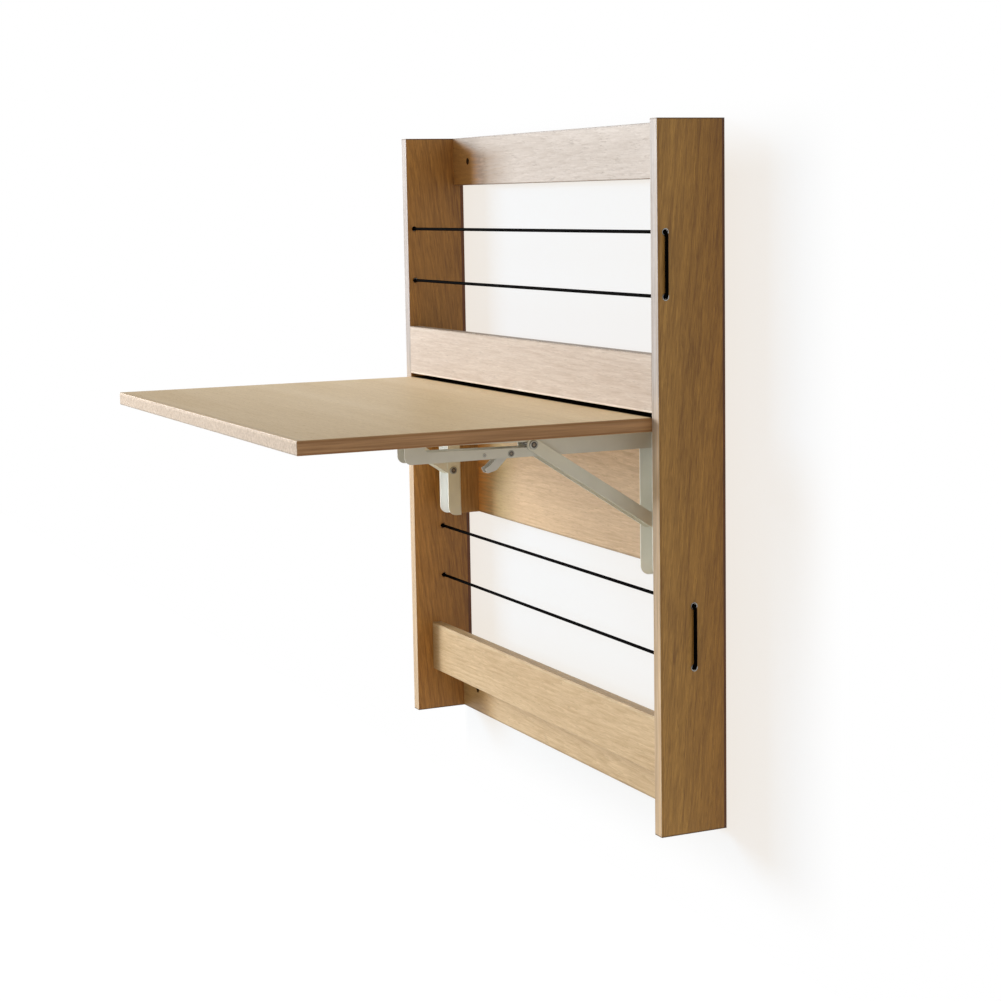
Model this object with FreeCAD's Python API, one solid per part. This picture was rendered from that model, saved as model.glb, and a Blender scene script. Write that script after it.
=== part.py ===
import FreeCAD, Part
import math
import os

# Wall-mounted folding desk, in millimetres.
# X runs to the right, Y runs back to the wall plane at zero, and Z runs up.
# The origin is on the wall plane, in the middle of the four wall-screw holes.

Vector = FreeCAD.Vector

# Frame of boards
frame_width = 900.0
frame_height = 1000.0
frame_depth = 106.0
side_thickness = 20.0
rail_thickness = 18.0
rear_panel_thickness = 20.0
board_edge_radius = 1.0

# Heights of the cross boards above the bottom edge of the frame
top_rail_height = 80.0
bottom_rail_height = 80.0
front_rail_height = 81.0
front_rail_lift = 599.0
rear_panel_lift = 360.0
rear_panel_height = 285.0
lower_rail_lift = 73.0
lower_rail_height = 83.0
lower_rail_clearance = 10.0

# Desktop
desktop_thickness = 20.0
desktop_side_gap = 1.5
desktop_top_gap = 6.0
desktop_bottom_gap = 0.5
desktop_corner_gap = 1.5
desktop_edge_radius = 1.5

# Wall screws, held in the top and bottom rear rails
wall_hole_inset = 60.0
wall_hole_radius = 2.75
wall_countersink_radius = 5.0

# Dowels between the side panels and the cross boards
dowel_radius = 4.0
dowel_length = 34.0
dowel_depth_in_side = 13.0
dowel_end_gap = 0.5
dowel_fit = 0.05
dowel_height_shares = (0.22, 0.78)

# Elastic cords and their eyelets
cord_radius = 2.5
cord_bend_radius = 5.0
cord_spacing = 88.0
upper_cord_rise = 79.0
lower_cord_drop = 33.0
upper_cord_setback = 12.0
cord_arm_gap = 2.5
cord_hole_radius = 4.5
eyelet_wall = 0.6
eyelet_flange_radius = 5.4
eyelet_flange_thickness = 0.5
eyelet_length = 6.0
eyelet_fit = 0.05
cord_eyelet_gap = 0.5
crimp_length = 16.0
crimp_wall = 0.7
crimp_fit = 0.05

# Folding brackets: sheet, widths over the sheet, and the place of their middle planes
bracket_inset = 69.0
sheet_thickness = 2.0
bend_radius = 3.0
leg_width = 38.0
bar_thickness = 2.2
bar_arm_gap = 1.3
running_gap = 0.3
pivot_fit = 0.08

# Hinge axis and the arm, measured from the hinge axis
axis_below_board = 17.5
arm_below_axis = 11.5
arm_rear_radius = 11.0
arm_nose_radius = 10.0
arm_nose_length = 33.0
arm_leg_gap = 1.0
arm_screw_shares = (0.16, 0.38, 0.70, 0.93)

# Leg
leg_depth = 24.0
leg_above_axis = 15.5
leg_bottom_lift = -2.7
leg_foot_radius = 14.0
leg_head_radius = 8.0
leg_screw_shares = (0.12, 0.50, 0.80)
block_top_gap = 5.0
block_width = 85.0
block_screw_shares = (0.18, 0.50, 0.82)
block_screw_side_share = 0.72

# Brace bars and the pin that slides in the arm's slots
brace_drop = 120.0
pin_reach = 194.0
pin_rise = 5.0
slot_rise = 3.0
brace_height = 18.0
slide_pin_radius = 2.4
slide_bush_radius = 3.5
slide_bush_flange_radius = 4.6
slide_bush_flange_thickness = 1.0
brace_rivet_radius = 3.5

# Rivets and pins
hinge_pin_radius = 4.0
lever_pin_radius = 3.0
spring_post_radius = 1.5
rivet_head_radius = 6.4
rivet_head_thickness = 2.2
flat_head_radius = 4.8
flat_head_thickness = 0.9
post_head_radius = 2.6
rivet_edge_share = 0.45
rivet_groove_shares = (0.34, 0.66)
rivet_groove_depth_share = 0.4
rivet_fit = 0.04
washer_radius = 8.0

# Release lever, measured from its own pivot
lever_pivot_ahead = 32.5
lever_pivot_below = 5.5
lever_width = 14.0
lever_sheet = 1.5
lever_boss_radius = 6.0
lever_nose_reach = 35.0
lever_nose_gap = 0.5
lever_nose_depth = 4.0
lever_nose_length = 8.0
lever_bridge_end = 10.5
lever_web_start = 15.0
lever_tab_reach = 36.5
lever_tab_drop = 19.0
lever_tab_depth = 7.0
lever_heel_reach = 19.5
lever_heel_drop = 22.5
lever_heel_radius = 10.0
spring_post_ahead = 40.0

# Leaf spring of the release lever
spring_width = 5.0
spring_thickness = 0.5
spring_bend_radius = 12.0
spring_pin_gap = 0.15
spring_post_gap = 0.05
spring_leg_reach = 14.5
spring_tip_rise = 1.3

# Wood screws
screw_radius = 2.0
screw_head_radius = 4.0
screw_head_thickness = 2.0
screw_hole_fit = 0.3
screw_pilot_fit = 0.05
arm_screw_end_gap = 8.0
leg_screw_end_gap = 10.0
block_screw_end_gap = 14.0

# One overrun serves every cut
overrun = 5.0


# Places worked out from the sizes
half_width = frame_width / 2
inner_half = half_width - side_thickness
floor_z = -frame_height / 2
front_y = -frame_depth
rail_back_y = front_y + rail_thickness

desktop_top_z = floor_z + front_rail_lift - desktop_top_gap
hinge_drop = desktop_thickness + axis_below_board
hinge_y = front_y + hinge_drop
hinge_z = desktop_top_z - hinge_drop
desktop_reach = hinge_z - floor_z - desktop_bottom_gap
rail_corner = math.hypot(hinge_y - rail_back_y, floor_z + front_rail_lift - hinge_z)
desktop_tail = math.sqrt((rail_corner - desktop_corner_gap) ** 2 - hinge_drop ** 2)

bracket_x = inner_half - bracket_inset
leg_web_y = hinge_y + arm_below_axis + arm_leg_gap
leg_back_y = leg_web_y + sheet_thickness
leg_front_y = leg_back_y - leg_depth
leg_bottom_z = floor_z + rear_panel_lift + leg_bottom_lift
leg_top_z = hinge_z + leg_above_axis
block_inner_x = inner_half - block_width
block_bottom_z = floor_z + rear_panel_lift
block_top_z = hinge_z + axis_below_board - block_top_gap
block_depth = -rear_panel_thickness - leg_back_y

arm_screw_length = sheet_thickness + desktop_thickness - arm_screw_end_gap
leg_screw_length = sheet_thickness + block_depth - leg_screw_end_gap
block_screw_length = rear_panel_thickness + block_depth - block_screw_end_gap

brace_y = hinge_y
brace_z = hinge_z - brace_drop
brace_length = math.hypot(pin_reach, brace_drop + pin_rise)
folded_rise = pin_rise + slot_rise
folded_reach = brace_drop + math.sqrt(brace_length ** 2 - folded_rise ** 2)
arm_reach = folded_reach + arm_nose_length
bar_outer_x = leg_width / 2 - sheet_thickness - running_gap
bar_inner_x = bar_outer_x - bar_thickness
arm_width = 2 * (bar_inner_x - bar_arm_gap)

lever_s = pin_reach + lever_pivot_ahead
lever_h = -lever_pivot_below
spring_post_s = lever_s + spring_post_ahead
upper_cord_y = front_y + upper_cord_setback
lower_cord_y = hinge_y + arm_below_axis + cord_radius + cord_arm_gap

# Cross boards: back and front face, bottom and top
lower_rail_front_y = front_y + desktop_thickness + lower_rail_clearance
cross_boards = {
    "top_rear_rail": (-rail_thickness, 0.0, floor_z + frame_height - top_rail_height, floor_z + frame_height),
    "front_rail": (front_y, rail_back_y, floor_z + front_rail_lift,
                   floor_z + front_rail_lift + front_rail_height),
    "mid_rear_panel": (-rear_panel_thickness, 0.0, floor_z + rear_panel_lift,
                       floor_z + rear_panel_lift + rear_panel_height),
    "lower_front_rail": (lower_rail_front_y, lower_rail_front_y + rail_thickness,
                         floor_z + lower_rail_lift, floor_z + lower_rail_lift + lower_rail_height),
    "bottom_rear_rail": (-rail_thickness, 0.0, floor_z, floor_z + bottom_rail_height),
}

# Cord pairs: depth of the pair and its two heights
cord_pairs = {
    "upper_cord": (upper_cord_y, cross_boards["front_rail"][3] + upper_cord_rise + cord_spacing),
    "lower_cord": (lower_cord_y, cross_boards["mid_rear_panel"][2] - lower_cord_drop),
}


# Basic solids
def block(x0, x1, y0, y1, z0, z1):
    return Part.makeBox(x1 - x0, y1 - y0, z1 - z0, Vector(x0, y0, z0))


def rod_x(x0, x1, y, z, radius):
    return Part.makeCylinder(radius, x1 - x0, Vector(x0, y, z), Vector(1, 0, 0))


def rod_y(x, y0, y1, z, radius):
    return Part.makeCylinder(radius, y1 - y0, Vector(x, y0, z), Vector(0, 1, 0))


def rod_z(x, y, z0, z1, radius):
    return Part.makeCylinder(radius, z1 - z0, Vector(x, y, z0), Vector(0, 0, 1))


def cut_all(shape, tools):
    return shape.cut(Part.makeCompound(tools))


def rounded(shape, radius, wanted):
    edges = [edge for edge in shape.Edges if wanted(edge)]
    return shape.makeFillet(radius, edges)


def runs_along(edge, axis):
    first = edge.Vertexes[0].Point
    last = edge.Vertexes[-1].Point
    span = last.sub(first)
    length = span.Length
    return length > 0 and abs(abs(span.dot(axis)) / length - 1) < 1e-6


def edges_along(axis, depth=None, height=None):
    """Test for the straight edges along an axis, at a depth Y or a height Z where one is given."""
    def wanted(edge):
        middle = edge.CenterOfMass
        at_depth = depth is None or abs(middle.y - depth) < running_gap
        at_height = height is None or abs(middle.z - height) < running_gap
        return runs_along(edge, axis) and at_depth and at_height
    return wanted


def side_outline(corners, x0, x1):
    """Prism along X from corners (y, z, corner radius)."""
    edges = []
    count = len(corners)
    joints = []
    for index in range(count):
        before = Vector(x0, corners[index - 1][0], corners[index - 1][1])
        here = Vector(x0, corners[index][0], corners[index][1])
        after = Vector(x0, corners[(index + 1) % count][0], corners[(index + 1) % count][1])
        radius = corners[index][2]
        if radius <= 0:
            joints.append((here, None, here))
            continue
        back = before.sub(here).normalize()
        ahead = after.sub(here).normalize()
        half_angle = back.getAngle(ahead) / 2
        reach = radius / math.tan(half_angle)
        middle_way = back.add(ahead).normalize()
        centre = here + middle_way * (radius / math.sin(half_angle))
        joints.append((here + back * reach, centre - middle_way * radius, here + ahead * reach))
    for index in range(count):
        start, middle, end = joints[index]
        if middle is not None:
            edges.append(Part.Arc(start, middle, end).toShape())
        following = joints[(index + 1) % count][0]
        if end.sub(following).Length > running_gap / 100:
            edges.append(Part.LineSegment(end, following).toShape())
    return Part.Face(Part.Wire(edges)).extrude(Vector(x1 - x0, 0, 0))


def bar_between(first, last, radius, x0, x1):
    """Prism along X with two half-round ends about the points (y, z)."""
    start = Vector(x0, first[0], first[1])
    end = Vector(x0, last[0], last[1])
    along = end.sub(start).normalize()
    across = Vector(0, -along.z, along.y) * radius
    tip = along * radius
    edges = [
        Part.LineSegment(start + across, end + across).toShape(),
        Part.Arc(end + across, end + tip, end - across).toShape(),
        Part.LineSegment(end - across, start - across).toShape(),
        Part.Arc(start - across, start - tip, start + across).toShape(),
    ]
    return Part.Face(Part.Wire(edges)).extrude(Vector(x1 - x0, 0, 0))


# Places on the open arm: s runs forward from the hinge axis and h runs up from it
def arm_point(s, h):
    return (hinge_y - s, hinge_z + h)


# Boards
def dowel_places(board):
    y0, y1, z0, z1 = board
    return [((y0 + y1) / 2, z0 + (z1 - z0) * share) for share in dowel_height_shares]


def side_panel(side):
    panel = block(inner_half, half_width, front_y, 0.0, floor_z, floor_z + frame_height)
    panel = rounded(panel, board_edge_radius, edges_along(Vector(0, 0, 1)))
    tools = []
    for board in cross_boards.values():
        for y, z in dowel_places(board):
            depth = dowel_depth_in_side + dowel_end_gap
            tools.append(rod_x(inner_half - overrun, inner_half + depth, y, z, dowel_radius + dowel_fit))
    for y, top in cord_pairs.values():
        for z in (top, top - cord_spacing):
            tools.append(rod_x(inner_half - overrun, half_width + overrun, y, z, cord_hole_radius))
    panel = cut_all(panel, tools)
    if side < 0:
        panel = panel.mirror(Vector(0, 0, 0), Vector(1, 0, 0))
    return panel


def cross_board(board):
    y0, y1, z0, z1 = board
    shape = block(-inner_half, inner_half, y0, y1, z0, z1)
    shape = rounded(shape, board_edge_radius, edges_along(Vector(1, 0, 0)))
    depth = dowel_length - dowel_depth_in_side + dowel_end_gap
    tools = []
    for y, z in dowel_places(board):
        tools.append(rod_x(-inner_half - overrun, -inner_half + depth, y, z, dowel_radius + dowel_fit))
        tools.append(rod_x(inner_half - depth, inner_half + overrun, y, z, dowel_radius + dowel_fit))
    return cut_all(shape, tools)


def wall_holes(board):
    y0, y1, z0, z1 = board
    z = (z0 + z1) / 2
    sink = wall_countersink_radius - wall_hole_radius
    tools = []
    for x in (wall_hole_inset - inner_half, inner_half - wall_hole_inset):
        tools.append(rod_y(x, y0 - overrun, y1 + overrun, z, wall_hole_radius))
        tools.append(Part.makeCone(wall_countersink_radius, wall_hole_radius, sink, Vector(x, y0, z), Vector(0, 1, 0)))
    return tools


def rail_dowels():
    dowels = []
    inner_end = inner_half - dowel_length + dowel_depth_in_side
    for board in cross_boards.values():
        for y, z in dowel_places(board):
            dowels.append(rod_x(inner_end, inner_half + dowel_depth_in_side, y, z, dowel_radius))
            dowels.append(rod_x(-inner_half - dowel_depth_in_side, -inner_end, y, z, dowel_radius))
    return Part.makeCompound(dowels)


def desktop_board():
    half = inner_half - desktop_side_gap
    shape = block(-half, half, hinge_y - desktop_reach, hinge_y + desktop_tail,
                  desktop_top_z - desktop_thickness, desktop_top_z)
    shape = rounded(shape, desktop_edge_radius, lambda edge: True)
    y_screws = [arm_point(arm_reach * share, 0.0)[0] for share in arm_screw_shares]
    under = hinge_z + axis_below_board
    depth = arm_screw_length - sheet_thickness + dowel_end_gap
    tools = []
    for x in (-bracket_x, bracket_x):
        for y in y_screws:
            tools.append(rod_z(x, y, under - overrun, under + depth, screw_radius + screw_pilot_fit))
    return cut_all(shape, tools)


# Cords, drawn as closed loops of straight runs and quarter bends
def quarter_bend(corner_x, corner_z, y, side, upper):
    """Tube bend whose outer corner is at the crossing of a cross run and an outer run."""
    centre = Vector(corner_x - side * cord_bend_radius, y, corner_z - upper * cord_bend_radius)
    ring_start = centre + Vector(0, 0, upper * cord_bend_radius)
    circle = Part.Wire(Part.makeCircle(cord_radius, ring_start, Vector(1, 0, 0)))
    return Part.Face(circle).revolve(centre, Vector(0, 1, 0), side * upper * 90.0)


def cord_loop(y, top):
    bottom = top - cord_spacing
    run_x = half_width + eyelet_flange_thickness + cord_eyelet_gap + cord_radius
    bend_x = run_x - cord_bend_radius
    pieces = []
    for z in (top, bottom):
        pieces.append(rod_x(-bend_x, bend_x, y, z, cord_radius))
    for side in (-1, 1):
        pieces.append(rod_z(side * run_x, y, bottom + cord_bend_radius, top - cord_bend_radius, cord_radius))
        pieces.append(quarter_bend(side * run_x, top, y, side, 1))
        pieces.append(quarter_bend(side * run_x, bottom, y, side, -1))
    loop = pieces[0].multiFuse(pieces[1:])
    straight = 4 * bend_x + 2 * (cord_spacing - 2 * cord_bend_radius)
    length = straight + 2 * math.pi * cord_bend_radius
    expected = length * math.pi * cord_radius ** 2
    print("cord bend radius", cord_bend_radius, "length", round(length, 1),
          "volume to section times length", round(loop.Volume / expected, 5))
    return loop


def eyelet(side, y, z):
    tube_radius = cord_hole_radius - eyelet_fit
    face_x = side * half_width
    inner_x = face_x - side * eyelet_length
    outer_x = face_x + side * eyelet_flange_thickness
    flange = rod_x(min(face_x, outer_x), max(face_x, outer_x), y, z, eyelet_flange_radius)
    tube = rod_x(min(inner_x, face_x), max(inner_x, face_x), y, z, tube_radius)
    bore = rod_x(min(inner_x, outer_x) - overrun, max(inner_x, outer_x) + overrun, y, z, tube_radius - eyelet_wall)
    return flange.fuse(tube).cut(bore)


def cord_eyelets():
    rings = []
    for side in (-1, 1):
        for y, top in cord_pairs.values():
            for z in (top, top - cord_spacing):
                rings.append(eyelet(side, y, z))
    return Part.makeCompound(rings)


def cord_crimps():
    run_x = -(half_width + eyelet_flange_thickness + cord_eyelet_gap + cord_radius)
    sleeves = []
    for y, top in cord_pairs.values():
        middle = top - cord_spacing / 2
        low = middle - crimp_length / 2
        high = middle + crimp_length / 2
        sleeve = rod_z(run_x, y, low, high, cord_radius + crimp_fit + crimp_wall)
        bore = rod_z(run_x, y, low - overrun, high + overrun, cord_radius + crimp_fit)
        sleeves.append(sleeve.cut(bore))
    return Part.makeCompound(sleeves)


# Bracket pieces, drawn about the bracket's middle plane at X zero
def bracket_block(side):
    shape = block(block_inner_x, inner_half, leg_back_y, -rear_panel_thickness, block_bottom_z, block_top_z)
    shape = rounded(shape, board_edge_radius, edges_along(Vector(0, 1, 0)))
    tools = []
    for z in leg_screw_heights():
        depth = leg_screw_length - sheet_thickness + dowel_end_gap
        tools.append(rod_y(bracket_x, leg_back_y - overrun, leg_back_y + depth, z, screw_radius + screw_pilot_fit))
    if side < 0:
        tools = [tool.mirror(Vector(0, 0, 0), Vector(1, 0, 0)) for tool in tools]
        shape = shape.mirror(Vector(0, 0, 0), Vector(1, 0, 0))
    tools += block_screw_bores()
    return cut_all(shape, tools)


def leg_screw_heights():
    return [leg_bottom_z + (leg_top_z - leg_bottom_z) * share for share in leg_screw_shares]


def block_screw_places():
    x = block_inner_x + (inner_half - block_inner_x) * block_screw_side_share
    heights = [block_bottom_z + (block_top_z - block_bottom_z) * share for share in block_screw_shares]
    return [(side * x, z) for side in (-1, 1) for z in heights]


def block_screw_bores():
    front = -block_screw_length - dowel_end_gap
    return [rod_y(x, front, overrun, z, screw_radius + screw_pilot_fit) for x, z in block_screw_places()]


def countersunk_screw(x, z):
    sink = screw_head_radius - screw_radius
    shank = rod_y(x, -block_screw_length, -sink, z, screw_radius)
    head = Part.makeCone(screw_radius, screw_head_radius, sink, Vector(x, -sink, z), Vector(0, 1, 0))
    return shank.fuse(head)


def block_screws():
    return Part.makeCompound([countersunk_screw(x, z) for x, z in block_screw_places()])


def mid_panel_sinks():
    sink = screw_head_radius - screw_radius
    fit = screw_pilot_fit
    tools = block_screw_bores()
    for x, z in block_screw_places():
        tools.append(Part.makeCone(screw_radius + fit, screw_head_radius + fit, sink, Vector(x, -sink, z),
                                   Vector(0, 1, 0)))
    return tools


def leg():
    corners = [
        (leg_back_y, leg_bottom_z, 0.0),
        (leg_back_y, leg_top_z, 0.0),
        (leg_front_y, leg_top_z, leg_head_radius),
        (leg_front_y, leg_bottom_z, leg_foot_radius),
    ]
    shape = side_outline(corners, -leg_width / 2, leg_width / 2)
    shape = rounded(shape, bend_radius, edges_along(Vector(0, 0, 1), depth=leg_back_y))
    inner = leg_width / 2 - sheet_thickness
    hollow = block(-inner, inner, leg_front_y - overrun, leg_web_y, leg_bottom_z - overrun, leg_top_z + overrun)
    hollow = rounded(hollow, bend_radius - sheet_thickness, edges_along(Vector(0, 0, 1), depth=leg_web_y))
    tools = [hollow]
    through = leg_width / 2 + overrun
    for z in (hinge_z, brace_z):
        tools.append(rod_x(-through, through, hinge_y, z, hinge_pin_radius + rivet_fit))
    for z in leg_screw_heights():
        tools.append(rod_y(0.0, leg_web_y - overrun, leg_back_y + overrun, z, screw_radius + screw_hole_fit))
    return cut_all(shape, tools)


def arm():
    top = axis_below_board
    corners = [
        arm_point(-arm_rear_radius, top) + (0.0,),
        arm_point(arm_reach, top) + (0.0,),
        arm_point(arm_reach, -arm_below_axis) + (arm_nose_radius,),
        arm_point(0.0, -arm_below_axis) + (0.0,),
        arm_point(-arm_rear_radius, -arm_below_axis) + (arm_rear_radius - running_gap,),
    ]
    shape = side_outline(corners, -arm_width / 2, arm_width / 2)
    top_z = hinge_z + top
    shape = rounded(shape, bend_radius, edges_along(Vector(0, 1, 0), height=top_z))
    inner = arm_width / 2 - sheet_thickness
    under_web = top_z - sheet_thickness
    through = arm_width / 2 + overrun
    hollow = block(-inner, inner, hinge_y - arm_reach - overrun, hinge_y + arm_rear_radius + overrun,
                   hinge_z - arm_below_axis - overrun, under_web)
    hollow = rounded(hollow, bend_radius - sheet_thickness, edges_along(Vector(0, 1, 0), height=under_web))
    tools = [hollow]
    tools.append(rod_x(-through, through, hinge_y, hinge_z, hinge_pin_radius + pivot_fit))
    tools.append(bar_between(arm_point(pin_reach, pin_rise), arm_point(folded_reach, folded_rise),
                             slide_bush_radius + running_gap, -through, through))
    y, z = arm_point(lever_s, lever_h)
    tools.append(rod_x(-through, through, y, z, lever_pin_radius + rivet_fit))
    y, z = arm_point(spring_post_s, lever_h)
    tools.append(rod_x(-through, through, y, z, spring_post_radius + rivet_fit))
    for share in arm_screw_shares:
        y = arm_point(arm_reach * share, 0.0)[0]
        tools.append(rod_z(0.0, y, top_z - sheet_thickness - overrun, top_z + overrun, screw_radius + screw_hole_fit))
    return cut_all(shape, tools)


def grooved_head(x, outward, y, z):
    """Rolled rivet head on the face at x, with its ring groove."""
    direction = Vector(outward, 0, 0)
    base = Vector(x, y, z)
    edge_rise = rivet_head_thickness * rivet_edge_share
    straight = rivet_head_thickness - edge_rise
    head = Part.makeCylinder(rivet_head_radius, straight, base, direction)
    dome = Part.makeCone(rivet_head_radius, rivet_head_radius - edge_rise, edge_rise, base + direction * straight,
                         direction)
    depth = rivet_head_thickness * rivet_groove_depth_share
    groove_base = base + direction * (rivet_head_thickness - depth)
    groove = Part.makeCylinder(rivet_head_radius * rivet_groove_shares[1], depth + overrun, groove_base, direction)
    stem = Part.makeCylinder(rivet_head_radius * rivet_groove_shares[0], depth + overrun, groove_base, direction)
    return head.fuse(dome).cut(groove.cut(stem))


def through_rivet(half, y, z, radius):
    shape = rod_x(-half, half, y, z, radius)
    return shape.multiFuse([grooved_head(-half, -1, y, z), grooved_head(half, 1, y, z)])


def pivot_washers():
    """Spacers between the leg's walls and the arm, and between the leg's walls and the bars."""
    inner_leg = leg_width / 2 - sheet_thickness
    arm_side = arm_width / 2 + running_gap
    rings = []
    for centre in (-bracket_x, bracket_x):
        for x0, x1 in ((arm_side, inner_leg), (-inner_leg, -arm_side)):
            ring = rod_x(centre + x0, centre + x1, hinge_y, hinge_z, washer_radius)
            bore = rod_x(centre + x0 - overrun, centre + x1 + overrun, hinge_y, hinge_z, hinge_pin_radius + rivet_fit)
            rings.append(ring.cut(bore))
    return Part.makeCompound(rings)


def brace_pivots():
    """One short rivet per bar, through the leg's wall, so that the arm folds in between them."""
    pivots = []
    inner_face = bar_inner_x - running_gap / 2
    for side in (-1, 1):
        inner = side * inner_face
        outer = side * leg_width / 2
        inner_head = side * (inner_face - flat_head_thickness)
        shank = rod_x(min(inner, outer), max(inner, outer), brace_y, brace_z, hinge_pin_radius)
        flat = rod_x(min(inner_head, inner), max(inner_head, inner), brace_y, brace_z, flat_head_radius)
        pivots.append(shank.multiFuse([flat, grooved_head(outer, side, brace_y, brace_z)]))
    return Part.makeCompound(pivots)


def brace_bar(side):
    x0 = bar_inner_x if side > 0 else -bar_outer_x
    x1 = x0 + bar_thickness
    shape = bar_between((brace_y, brace_z), arm_point(pin_reach, pin_rise), brace_height / 2, x0, x1)
    pin_y, pin_z = arm_point(pin_reach, pin_rise)
    tools = [
        rod_x(x0 - overrun, x1 + overrun, brace_y, brace_z, hinge_pin_radius + pivot_fit),
        rod_x(x0 - overrun, x1 + overrun, pin_y, pin_z, brace_rivet_radius + rivet_fit),
    ]
    return cut_all(shape, tools)


def brace_rivets():
    y, z = arm_point(pin_reach, pin_rise)
    rivets = []
    for side in (-1, 1):
        low = min(side * bar_inner_x, side * bar_outer_x)
        shank = rod_x(low, low + bar_thickness, y, z, brace_rivet_radius)
        rivets.append(shank.fuse(grooved_head(side * bar_outer_x, side, y, z)))
    return Part.makeCompound(rivets)


def slide_pin():
    half = arm_width / 2 + bar_arm_gap - running_gap
    y, z = arm_point(pin_reach, pin_rise)
    return rod_x(-half, half, y, z, slide_pin_radius)


def slide_bushes():
    y, z = arm_point(pin_reach, pin_rise)
    outer = arm_width / 2 + bar_arm_gap - running_gap
    wall = arm_width / 2 - sheet_thickness - running_gap
    inner = wall - slide_bush_flange_thickness
    bushes = []
    for side in (-1, 1):
        tube = rod_x(min(side * inner, side * outer), max(side * inner, side * outer), y, z, slide_bush_radius)
        flange = rod_x(min(side * inner, side * wall), max(side * inner, side * wall), y, z, slide_bush_flange_radius)
        bore = rod_x(-outer - overrun, outer + overrun, y, z, slide_pin_radius + rivet_fit)
        bushes.append(tube.fuse(flange).cut(bore))
    return Part.makeCompound(bushes)


# Release lever
def lever_outline():
    """Corners of the lever's cheek on the arm, from the nose round to the finger tab."""
    nose_top = pin_rise - slide_bush_radius - lever_nose_gap
    nose_low = nose_top - lever_nose_depth
    boss_top = lever_h + lever_boss_radius
    boss_low = lever_h - lever_boss_radius
    tab_s = lever_s + lever_tab_reach
    tab_h = lever_h - lever_tab_drop
    points = [
        (lever_s - lever_nose_reach, nose_top, lever_nose_depth / 4),
        (lever_s, boss_top, lever_boss_radius),
        (lever_s + lever_boss_radius, boss_top, lever_boss_radius / 2),
        (tab_s - lever_boss_radius, tab_h + lever_boss_radius / 2, lever_boss_radius),
        (tab_s, tab_h, lever_nose_depth / 2),
        (tab_s - lever_tab_depth / 2, tab_h - lever_tab_depth, lever_nose_depth / 2),
        (lever_s + lever_heel_reach, lever_h - lever_heel_drop, lever_heel_radius),
        (lever_s + lever_boss_radius / 2, boss_low, lever_boss_radius / 2),
        (lever_s - lever_boss_radius, boss_low, lever_boss_radius),
        (lever_s - lever_boss_radius * 2, nose_low, lever_boss_radius / 2),
        (lever_s - lever_nose_reach, nose_low, lever_nose_depth / 4),
    ]
    return [arm_point(s, h) + (radius,) for s, h, radius in points]


def lever_hollows(inner):
    """Cuts that leave a folded channel: a bridge over the strut and a web along the tab's underside."""
    nose_top = pin_rise - slide_bush_radius - lever_nose_gap
    nose_end = lever_s - lever_nose_reach + lever_nose_length
    bridge_end = lever_s - lever_bridge_end
    low = hinge_z + lever_h - lever_tab_drop - lever_tab_depth
    under_strut = block(-inner, inner, arm_point(bridge_end, 0.0)[0], arm_point(nose_end, 0.0)[0],
                        low, hinge_z + nose_top - lever_sheet)
    round_pin = block(-inner, inner, arm_point(lever_s + lever_web_start, 0.0)[0], arm_point(bridge_end, 0.0)[0],
                      low, hinge_z + overrun)
    heel = Vector(0.0, *arm_point(lever_s + lever_heel_reach, lever_h - lever_heel_drop))
    toe_s = lever_s + lever_tab_reach - lever_tab_depth / 2
    toe = Vector(0.0, *arm_point(toe_s, lever_h - lever_tab_drop - lever_tab_depth))
    along = toe.sub(heel).normalize()
    upward = Vector(0.0, along.z, -along.y)
    near = heel + upward * lever_sheet - along * lever_bridge_end
    far = toe + upward * lever_sheet + along * lever_tab_depth
    rise = upward * lever_tab_reach
    corners = [near, far, far + rise, near + rise]
    over_tab = side_outline([(corner.y, corner.z, 0.0) for corner in corners], -inner, inner)
    return [under_strut, round_pin, over_tab]


def release_lever():
    half = lever_width / 2
    shape = side_outline(lever_outline(), -half, half)
    y, z = arm_point(lever_s, lever_h)
    bore = rod_x(-half - overrun, half + overrun, y, z, lever_pin_radius + pivot_fit)
    return cut_all(shape, lever_hollows(half - lever_sheet) + [bore])


def flat_rivet(y, z, radius, head_radius):
    """Rivet through the arm with thin heads, which the brace bars pass when the desk is folded."""
    half = arm_width / 2
    chamfer = flat_head_thickness * rivet_edge_share
    pieces = [rod_x(-half, half, y, z, radius)]
    for side in (-1, 1):
        base = Vector(side * half, y, z)
        outward = Vector(side, 0, 0)
        pieces.append(Part.makeCylinder(head_radius, flat_head_thickness - chamfer, base, outward))
        pieces.append(Part.makeCone(head_radius, head_radius - chamfer, chamfer,
                                    base + outward * (flat_head_thickness - chamfer), outward))
    return pieces[0].multiFuse(pieces[1:])


def lever_pin():
    y, z = arm_point(lever_s, lever_h)
    return flat_rivet(y, z, lever_pin_radius, flat_head_radius)


def spring_post():
    y, z = arm_point(spring_post_s, lever_h)
    return flat_rivet(y, z, spring_post_radius, post_head_radius)


def lever_spring():
    """Leaf spring: a strip arched over the lever's pin, from under the spring post to under the bridge."""
    thickness = Vector(0, 0, spring_thickness)
    crest_h = lever_h + lever_pin_radius + spring_pin_gap
    foot_h = lever_h - spring_post_radius - spring_post_gap - spring_thickness
    tip = Vector(0, *arm_point(lever_s - spring_leg_reach, lever_h + spring_tip_rise))
    crest = Vector(0, *arm_point(lever_s, crest_h))
    knee = Vector(0, *arm_point(spring_post_s - post_head_radius, foot_h))
    foot = Vector(0, *arm_point(spring_post_s + post_head_radius, foot_h))
    under = [(tip, 0.0), (crest, spring_bend_radius), (knee, spring_bend_radius), (foot, 0.0)]
    over = [(place + thickness, radius) for place, radius in reversed(under)]
    corners = [(place.y, place.z, radius) for place, radius in under + over]
    return side_outline(corners, -spring_width / 2, spring_width / 2)


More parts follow.
